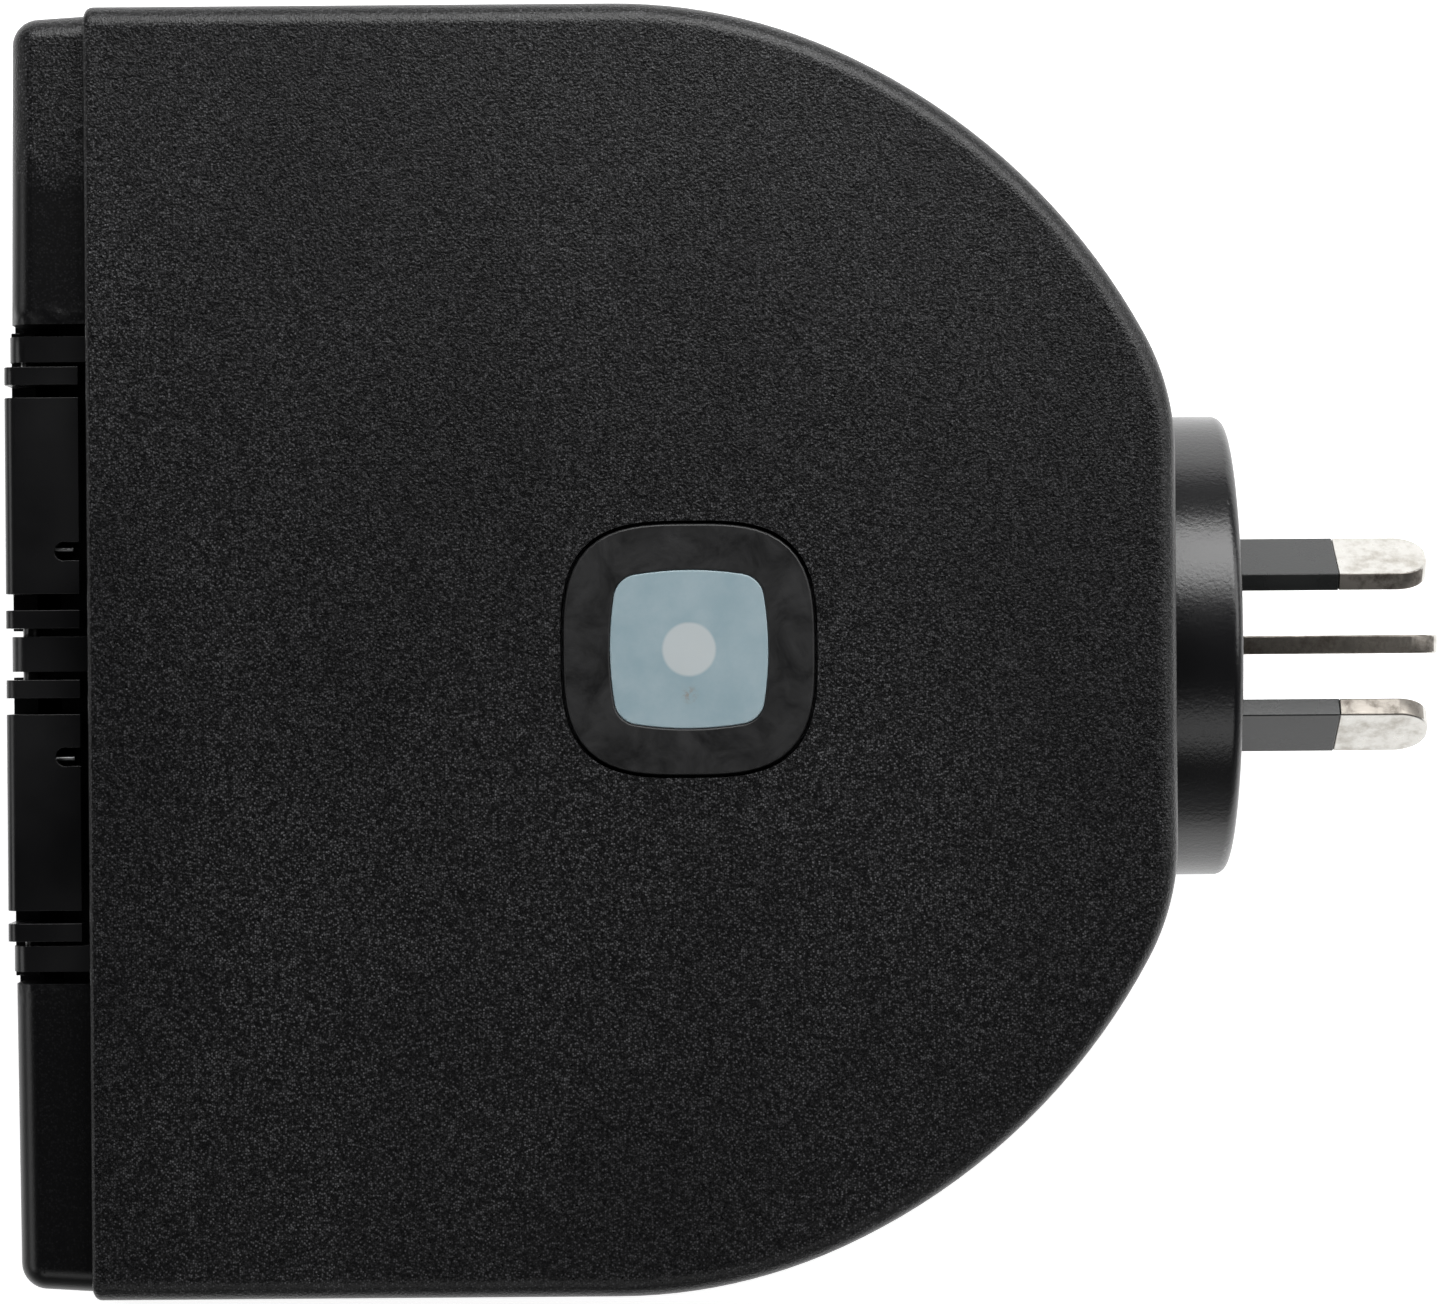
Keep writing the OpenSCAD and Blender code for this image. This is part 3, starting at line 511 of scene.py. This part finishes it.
def soften(obj, width, segments=2, angle=35):
    """Welds the mesh, rounds its sharp edges by width and smooths the shading."""
    body = bmesh.new()
    body.from_mesh(obj.data)
    bmesh.ops.remove_doubles(body, verts=body.verts, dist=0.001 * MM)
    bmesh.ops.dissolve_limit(body, angle_limit=math.radians(0.4), verts=body.verts,
                             edges=body.edges, use_dissolve_boundaries=False)
    body.to_mesh(obj.data)
    body.free()
    if width > 0:
        step = obj.modifiers.new("round", "BEVEL")
        step.width = width
        step.segments = segments
        step.limit_method = "ANGLE"
        step.angle_limit = math.radians(angle)
        step.use_clamp_overlap = True
        step.harden_normals = False
        baked(obj)
    for face in obj.data.polygons:
        face.use_smooth = True
    obj.data.set_sharp_from_angle(angle=math.radians(angle))
    step = obj.modifiers.new("even", "WEIGHTED_NORMAL")
    step.keep_sharp = True
    step.weight = 60
    baked(obj)
    return obj


def node_group(name, *inputs):
    """A new Geometry Nodes group with a geometry input and output and the named inputs."""
    group = bpy.data.node_groups.new(name, "GeometryNodeTree")
    group.interface.new_socket("Geometry", in_out="OUTPUT", socket_type="NodeSocketGeometry")
    group.interface.new_socket("Geometry", in_out="INPUT", socket_type="NodeSocketGeometry")
    for label, kind in inputs:
        group.interface.new_socket(label, in_out="INPUT", socket_type="NodeSocket" + kind)
    return group, group.nodes.new("NodeGroupInput").outputs


def grown(name, points, group, **values):
    """The plain mesh object that a node group makes from points; _ in a name is a space."""
    obj = make_object(name, points, [])
    step = obj.modifiers.new("grow", "NODES")
    step.node_group = group
    sockets = {item.name: item.identifier for item in group.interface.items_tree
               if item.in_out == "INPUT"}
    for label, value in values.items():
        step[sockets[label.replace("_", " ")]] = value
    return baked(obj)


def spring_nodes():
    """Torsion spring: a close coil along Z from the origin, with a leg at each end."""
    group, given = node_group("torsion_spring", ("Turns", "Float"), ("Coil radius", "Float"),
                              ("Coil length", "Float"), ("Wire radius", "Float"),
                              ("First leg", "Float"), ("Second leg", "Float"),
                              ("Finish", "Material"))
    coil = add(group, "GeometryNodeCurveSpiral", Resolution=36, Rotations=given["Turns"],
               Start_Radius=given["Coil radius"], End_Radius=given["Coil radius"],
               Height=given["Coil length"])
    down = add(group, "ShaderNodeMath", {"operation": "MULTIPLY"}, i0=given["First leg"], i1=-1.0)
    back = add(group, "ShaderNodeMath", {"operation": "MULTIPLY"}, i0=given["Second leg"], i1=-1.0)
    first_root = add(group, "ShaderNodeCombineXYZ", X=given["Coil radius"])
    first_tip = add(group, "ShaderNodeCombineXYZ", X=given["Coil radius"], Y=down.outputs[0])
    last_root = add(group, "ShaderNodeCombineXYZ", Y=given["Coil radius"], Z=given["Coil length"])
    last_tip = add(group, "ShaderNodeCombineXYZ", X=back.outputs[0], Y=given["Coil radius"],
                   Z=given["Coil length"])
    first = add(group, "GeometryNodeCurvePrimitiveLine", Start=first_root.outputs[0],
                End=first_tip.outputs[0])
    last = add(group, "GeometryNodeCurvePrimitiveLine", Start=last_root.outputs[0],
               End=last_tip.outputs[0])
    wires = group.nodes.new("GeometryNodeJoinGeometry")
    for part in (coil, first, last):
        group.links.new(part.outputs["Curve"], wires.inputs["Geometry"])
    section = add(group, "GeometryNodeCurvePrimitiveCircle", Resolution=14,
                  Radius=given["Wire radius"])
    tube = add(group, "GeometryNodeCurveToMesh", Curve=wires.outputs["Geometry"],
               Profile_Curve=section.outputs["Curve"], Fill_Caps=True)
    smooth = add(group, "GeometryNodeSetShadeSmooth", Geometry=tube.outputs["Mesh"])
    finish = add(group, "GeometryNodeSetMaterial", Geometry=smooth.outputs["Geometry"],
                 Material=given["Finish"])
    add(group, "NodeGroupOutput", Geometry=finish.outputs["Geometry"])
    return group


def screw_nodes():
    """A copy of one screw on every point, each turned alike."""
    group, given = node_group("screw_set", ("Screw", "Object"), ("Turn", "Vector"),
                              ("Finish", "Material"))
    one = add(group, "GeometryNodeObjectInfo", Object=given["Screw"], As_Instance=True)
    copies = add(group, "GeometryNodeInstanceOnPoints", Points=given["Geometry"],
                 Instance=one.outputs["Geometry"], Rotation=given["Turn"])
    real = add(group, "GeometryNodeRealizeInstances", Geometry=copies.outputs["Instances"])
    finish = add(group, "GeometryNodeSetMaterial", Geometry=real.outputs["Geometry"],
                 Material=given["Finish"])
    add(group, "NodeGroupOutput", Geometry=finish.outputs["Geometry"])
    return group


def cad_copy(node, name):
    """A copy of a CAD node's mesh, as a new linked object."""
    return link(bpy.data.objects.new(name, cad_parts[node].data.copy()))


def finished(obj, material, body, slot, *nodes):
    """Gives a piece its material and body and hides the CAD nodes that it stands for; slot is not
    used.
    """
    obj.data.materials.clear()
    obj.data.materials.append(material)
    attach(obj, body)
    if nodes:
        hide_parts(*nodes)
    return obj


# ---------------------------------------------------------------- case

def case_plan(inset, front=None, fine=2.0):
    """Outline of the case moved in by inset, anticlockwise from the front right corner."""
    front = FRONT if front is None else front
    side_x = HALF_WIDTH - SIDE_R
    side_y = MAIN_Y + math.sqrt((MAIN_R - SIDE_R) ** 2 - side_x ** 2)
    side_angle = math.degrees(math.atan2(side_y - MAIN_Y, side_x))
    flat_y = FLAT - FLAT_R
    flat_x = math.sqrt((MAIN_R - FLAT_R) ** 2 - (flat_y - MAIN_Y) ** 2)
    flat_angle = math.degrees(math.atan2(flat_y - MAIN_Y, flat_x))
    half = arc(HALF_WIDTH - inset - CORNER_R, front + CORNER_R, CORNER_R, -90, 0, 5)
    half += arc(side_x, side_y, SIDE_R - inset, 0, side_angle, round(side_angle / fine))
    half += arc(0, MAIN_Y, MAIN_R - inset, side_angle, flat_angle,
                round((flat_angle - side_angle) / fine))[1:]
    half += arc(flat_x, flat_y, FLAT_R - inset, flat_angle, 90,
                round((90 - flat_angle) / fine))[1:]
    return half + [(-x, y) for x, y in reversed(half)]


def edge_steps(radius, steps=7):
    """(inset, drop) pairs down a rounded edge, from the wall to the face."""
    return [(radius * (1 - math.cos(math.pi / 2 * i / steps)),
             radius * (1 - math.sin(math.pi / 2 * i / steps))) for i in range(steps + 1)]


def squircle(half, power, steps=128):
    """Rounded square with bowed sides, as (x, y) points about the button's centre."""
    points = []
    for i in range(steps):
        c, s = math.cos(math.tau * i / steps), math.sin(math.tau * i / steps)
        r = half / (abs(c) ** power + abs(s) ** power) ** (1 / power)
        points.append((r * c, BUTTON_Y + r * s))
    return points


def case_half(name, side):
    """Upper (side 1) or lower (side -1) shell, hollow, with room for the plug's neck."""
    levels = [(SEAM, 0, 0), (0, SEAM, 0)]
    for inset, drop in edge_steps(EDGE_R):
        # the front end's lip is rounded too, so the outline pulls back near the face
        pull = 0.0 if drop > LIP_R else LIP_R - math.sqrt(LIP_R ** 2 - (LIP_R - drop) ** 2)
        levels.append((inset, TOP - drop, pull))
    outer = stack(name, [[(x, y, side * z) for x, y in case_plan(inset, FRONT + pull)]
                         for inset, z, pull in levels])
    hollow = stack("hollow", [[(x, y, side * z) for x, y in case_plan(WALL, FRONT - 5 * MM)]
                              for z in (-5 * MM, TOP - WALL)])
    neck = rod("neck", (0, FLAT - 6 * MM, 0), (0, FLAT + 2 * MM, 0), NECK_R, 96)
    return combine(outer, [hollow, neck])


cover = case_half("cover_shell", 1)
hole = stack("hole", [[(x, y, z) for x, y in squircle(BUTTON_HALF + BUTTON_GAP, BUTTON_POWER)]
                      for z in (TOP - 2 * WALL, TOP + WALL)])
combine(cover, [hole])
posts = [rod("post", (x * MM, y * MM, 0.5 * MM), (x * MM, y * MM, TOP - WALL / 2), COVER_POST_R)
         for x, y in POSTS]
posts += [rod("post", (s * BOARD_POST_X * MM, BUTTON_Y, BOARD_POST_FOOT),
              (s * BOARD_POST_X * MM, BUTTON_Y, TOP - WALL / 2), BOARD_POST_R) for s in (-1, 1)]
combine(cover, posts, "UNION")
soften(cover, 0.12 * MM, 2, 50)
finished(cover, case_black, "case", "case_plastic", "top_cover")

housing = case_half("housing_shell", -1)
wells = [rod("well", (x * MM, y * MM, -TOP - MM), (x * MM, y * MM, WELL_TOP * MM), WELL_R)
         for x, y in POSTS]
columns = [rod("column", (x * MM, y * MM, -TOP + WALL / 2), (x * MM, y * MM, -0.5 * MM),
               HOUSING_POST_R) for x, y in POSTS]
combine(housing, columns, "UNION")
label_size = label_high - label_low
recess_outline = slot_outline((label_low.x + label_high.x) / 2, (label_low.y + label_high.y) / 2,
                              label_size.x + 2 * LABEL_GAP, label_size.y + 2 * LABEL_GAP,
                              LABEL_R + LABEL_GAP)
recess = stack("recess", [[(x, y, z) for x, y in recess_outline]
                          for z in (-TOP - MM, -TOP + LABEL_DEPTH)])
combine(housing, wells + [recess])
soften(housing, 0.12 * MM, 2, 50)
finished(housing, case_black, "case", "case_plastic", "lower_housing")


# ---------------------------------------------------------------- plain refinements of CAD pieces

REFINED = [
    # node, piece, material, body, slot, rounding in millimetres
    ("socket_panel", "socket_front", smooth_black, "case", "smooth_plastic", 0.18),
    ("flap_seal_left", "left_flap_seal", seal_grey, "flap_left", "seal_rubber", 0.3),
    ("flap_seal_right", "right_flap_seal", seal_grey, "flap_right", "seal_rubber", 0.3),
    ("plug_base", "plug_disc", plug_black, "case", "plug_plastic", 0.1),
    ("active_pin", "active_blade", nickel, "case", "nickel_pins", 0.16),
    ("neutral_pin", "neutral_blade", nickel, "case", "nickel_pins", 0.16),
    ("earth_pin", "earth_blade", nickel, "case", "nickel_pins", 0.16),
    ("active_sleeve", "active_insulation", pin_grey, "case", "pin_insulation", 0.12),
    ("neutral_sleeve", "neutral_insulation", pin_grey, "case", "pin_insulation", 0.12),
    ("button_cap", "button_ring", button_black, "button", "button_plastic", 0.2),
    ("light_window", "button_window", window_milky, "button", "window_plastic", 0.12),
]
for node, piece, material, body, slot, width in REFINED:
    made = soften(cad_copy(node, piece), width * MM, 3, 35)
    finished(made, material, body, slot, node)
    if material is nickel:
        lean = {"active_pin": PIN_LEAN, "neutral_pin": -PIN_LEAN, "earth_pin": 0}[node]
        upright = Vector((math.sin(lean), 0, math.cos(lean)))
        # the narrow edges take the darker edge colour, a painted dark reflection
        made.data.materials.append(nickel_edge_painted_dark)
        for face in made.data.polygons:
            if abs(face.normal.dot(upright)) > 0.6:
                face.material_index = 1


# ---------------------------------------------------------------- bezel

def front_prism(name, outline, near, far):
    """A solid whose (x, z) outline runs along Y."""
    return stack(name, [[(x, y, z) for x, z in outline] for y in (near, far)])


def bezel_plan(inset):
    """Plan of the bezel moved in by inset: drafted sides, round corners, a slightly bowed front."""
    x = bezel_high.x - BEZEL_DRAFT - BEZEL_CORNER
    y = bezel_low.y + BEZEL_BOW + BEZEL_CORNER
    right = [(bezel_high.x - inset, bezel_high.y)]
    right += arc(x, y, max(BEZEL_CORNER - inset, SMALLEST_R), 0, -90, 8)
    back = min(inset, BEZEL_CORNER - SMALLEST_R)
    front = [(x * s, bezel_low.y + BEZEL_BOW * s ** 2 + back)
             for s in (1 - i / 6 for i in range(1, 12))]
    return right + front + [(-px, py) for px, py in reversed(right)]


def bezel():
    """The frame ahead of the case, with its opening, finger scoops and screw holes."""
    steps = edge_steps(BEZEL_ROUNDING)
    levels = [(inset, drop - bezel_high.z) for inset, drop in reversed(steps)]
    levels += [(inset, bezel_high.z - drop) for inset, drop in steps]
    body = stack("bezel_frame", [[(x, y, z) for x, y in bezel_plan(inset)]
                                 for inset, z in levels])
    opening = [(OPENING_X, OPENING_TOP), (POCKET_X, OPENING_TOP), (POCKET_X, 30 * MM),
               (-POCKET_X, 30 * MM), (-POCKET_X, OPENING_TOP), (-OPENING_X, OPENING_TOP)]
    r = OPENING_R
    opening += arc(-OPENING_X + r, OPENING_BOTTOM + r, r, 180, 270, 10)
    opening += arc(OPENING_X - r, OPENING_BOTTOM + r, r, 270, 360, 10)
    cutters = [front_prism("opening", opening, -110 * MM, -90 * MM)]
    cutters += [front_prism("scoop", slot_outline(s * SOCKET_X, OPENING_BOTTOM, *SCOOP),
                            -110 * MM, -98.6 * MM) for s in (-1, 1)]
    cutters += [rod("pilot", (x * MM, -98.8 * MM, z * MM), (x * MM, -93 * MM, z * MM), 1.0 * MM)
                for x, z in BEZEL_SCREWS]
    return combine(body, cutters)


finished(soften(bezel(), 0.3 * MM, 3, 40), bezel_black, "case", "case_plastic", "front_bezel")


# ---------------------------------------------------------------- flaps and springs

for side, sign in (("left", -1), ("right", 1)):
    flap = cad_copy("flap_" + side, side + "_flap")
    eye = rod("eye", (sign * EYE_X, EYE_Y, 20 * MM), (sign * EYE_X, EYE_Y, 27 * MM), EYE_R, 32)
    combine(flap, [eye])
    soften(flap, 0.14 * MM, 3, 35)
    finished(flap, smooth_black, "flap_" + side, "smooth_plastic", "flap_" + side)

spring_group = spring_nodes()
for side, sign in (("left", -1), ("right", 1)):
    spring = grown(side + "_flap_spring", [(0, 0, 0)], spring_group, Turns=8.25,
                   Coil_radius=1.12 * MM, Coil_length=4.5 * MM, Wire_radius=0.2 * MM,
                   First_leg=2.9 * MM, Second_leg=3.5 * MM, Finish=spring_wire)
    turned = Matrix(((0, 0, -1, 0), (-1, 0, 0, 0), (0, 1, 0, 0), (0, 0, 0, 1)))
    spring.data.transform(turned)
    spring.data.transform(Matrix.Translation((13.0 * MM, HINGE_Y, HINGE_Z)))
    if sign < 0:
        spring.data.transform(Matrix.Diagonal((-1, 1, 1, 1)))
        spring.data.flip_normals()
    finished(spring, spring_wire, "flap_" + side, "spring_steel", "flap_spring_" + side)


# ---------------------------------------------------------------- screws

def one_screw(shank, length, head, height):
    """A pan-head cross-recess screw with its head down and a plain ringed thread."""
    profile = [(0, -height)]
    profile += [(head * math.sin(math.radians(a)),
                 -height * (0.35 + 0.65 * math.cos(math.radians(a)))) for a in range(15, 91, 15)]
    profile += [(head, -0.05 * height), (head * 0.96, 0), (shank, 0)]
    pitch = shank * 0.55
    z = pitch
    while z < length - 1.5 * pitch:
        profile += [(shank, z), (shank * 0.84, z + pitch / 2)]
        z += pitch
    profile += [(shank * 0.8, length - pitch), (shank * 0.3, length)]
    loops = [[(r * math.cos(math.tau * i / 40), r * math.sin(math.tau * i / 40), z)
              for i in range(40)] for r, z in profile[1:]]
    body = stack("screw", loops)
    slot = head * 0.17
    cross = [box_solid("slot", (-a, -b, -height - MM), (a, b, -height * 0.4))
             for a, b in ((head * 0.6, slot), (slot, head * 0.6))]
    return soften(combine(body, cross), 0, angle=40)


screw_group = screw_nodes()
up, forward, down = (0, 0, 0), (math.pi / 2, 0, 0), (math.pi, 0, 0)
SCREW_SETS = [
    # node, piece, places, turn, shank radius, length, head radius, head height
    ("housing_screws", "case_screws", [(x, y, WELL_TOP) for x, y in POSTS], up, 1.5, 24, 2.8, 2.2),
    ("bezel_screws", "frame_screws", [(x, -92.5, z) for x, z in BEZEL_SCREWS], forward,
     1.0, 5.8, 1.9, 1.5),
    ("switch_board_screws", "button_board_screws",
     [(x, -45.7, 16) for x in (-BOARD_POST_X, BOARD_POST_X)], up, 1.0, 6, 1.9, 1.5),
    ("main_board_screws", "power_board_screws",
     [(34.5, -67.5, -6.4), (-34.5, -67.5, -6.4), (20, -22, -6.4), (-20, -22, -6.4)], down,
     1.0, 7.5, 1.9, 1.5),
]
for node, piece, places, turn, shank, length, head, height in SCREW_SETS:
    pattern = one_screw(shank * MM, length * MM, head * MM, height * MM)
    made = grown(piece, [(x * MM, y * MM, z * MM) for x, y, z in places], screw_group,
                 Screw=pattern, Turn=turn, Finish=zinc)
    bpy.data.objects.remove(pattern)
    finished(made, zinc, "case", "screw_steel", node)


# ---------------------------------------------------------------- stage, lights, camera

def make_floor():
    """A wide pale floor that the case stands on."""
    reach = 3.0
    z = cad_box[0].z
    floor = make_object("studio_floor", [(-reach, -reach, z), (reach, -reach, z),
                                         (reach, reach, z), (-reach, reach, z)], [[0, 1, 2, 3]])
    material, tree, place, shader = surface("white_floor_painted_glow")
    mottle = noise(tree, place, 30 * MM, 3)
    tree.links.new(blend_colours(tree, mottle, "#dedede", "#e4e4e4"), shader.inputs["Base Color"])
    shader.inputs["Roughness"].default_value = 0.9
    # painted light: the sheet glows, brightest round the part, and falls to pale grey away from it
    shader.inputs["Emission Color"].default_value = (1, 1, 1, 1)
    away = add(tree, "ShaderNodeVectorMath", {"operation": "DISTANCE"}, i0=place,
               i1=(0, -0.043, z)).outputs["Value"]
    tree.links.new(ramp(tree, away, 0.12, 0.36, 0.8, 0.12), shader.inputs["Emission Strength"])
    floor.data.materials.append(material)


def area_light(name, place, aim, size, power):
    data = bpy.data.lights.new(name, "AREA")
    data.shape = "RECTANGLE"
    data.size, data.size_y = size
    data.energy = power
    light = link(bpy.data.objects.new(name, data))
    light.location = place
    light.rotation_euler = (Vector(aim) - Vector(place)).to_track_quat("-Z", "Y").to_euler()


def make_sky():
    """Pale studio walls under a darker ceiling."""
    world = bpy.data.worlds.new("studio")
    bpy.context.scene.world = world
    world.use_nodes = True
    tree = world.node_tree
    tree.nodes.clear()
    direction = add(tree, "ShaderNodeTexCoord").outputs["Generated"]
    height = add(tree, "ShaderNodeSeparateXYZ", Vector=direction).outputs["Z"]
    level = ramp(tree, height, 0.0, 0.5, 0.34, 0.012)
    back = add(tree, "ShaderNodeBackground", Strength=level)
    back.inputs["Color"].default_value = hex_linear("#f6f8fa")
    add(tree, "ShaderNodeOutputWorld", Surface=back.outputs["Background"])


make_floor()
make_sky()
middle = Vector((0, -0.05, 0))
area_light("key_light", (-0.37, 0.03, 0.36), middle, (0.58, 0.29), 3.3)
area_light("fill_light", (0.50, -0.05, 0.56), middle, (0.7, 0.26), 0.7)
area_light("rear_light", (-0.25, 0.62, 0.40), middle, (0.5, 0.4), 1.8)
area_light("front_light", (0.1, -0.75, 0.35), middle, (0.6, 0.3), 0.9)

camera_data = bpy.data.cameras.new("camera")
camera_data.sensor_width = 36
camera_data.lens = 127.2
camera_data.clip_start = 0.01
camera = link(bpy.data.objects.new("camera", camera_data))
camera.location = (0.24 * MM, -43.0 * MM, 440 * MM)
camera.rotation_euler = (0, 0, math.radians(90 - 0.44))
bpy.context.scene.camera = camera

bpy.context.scene.view_settings.view_transform = "Standard"
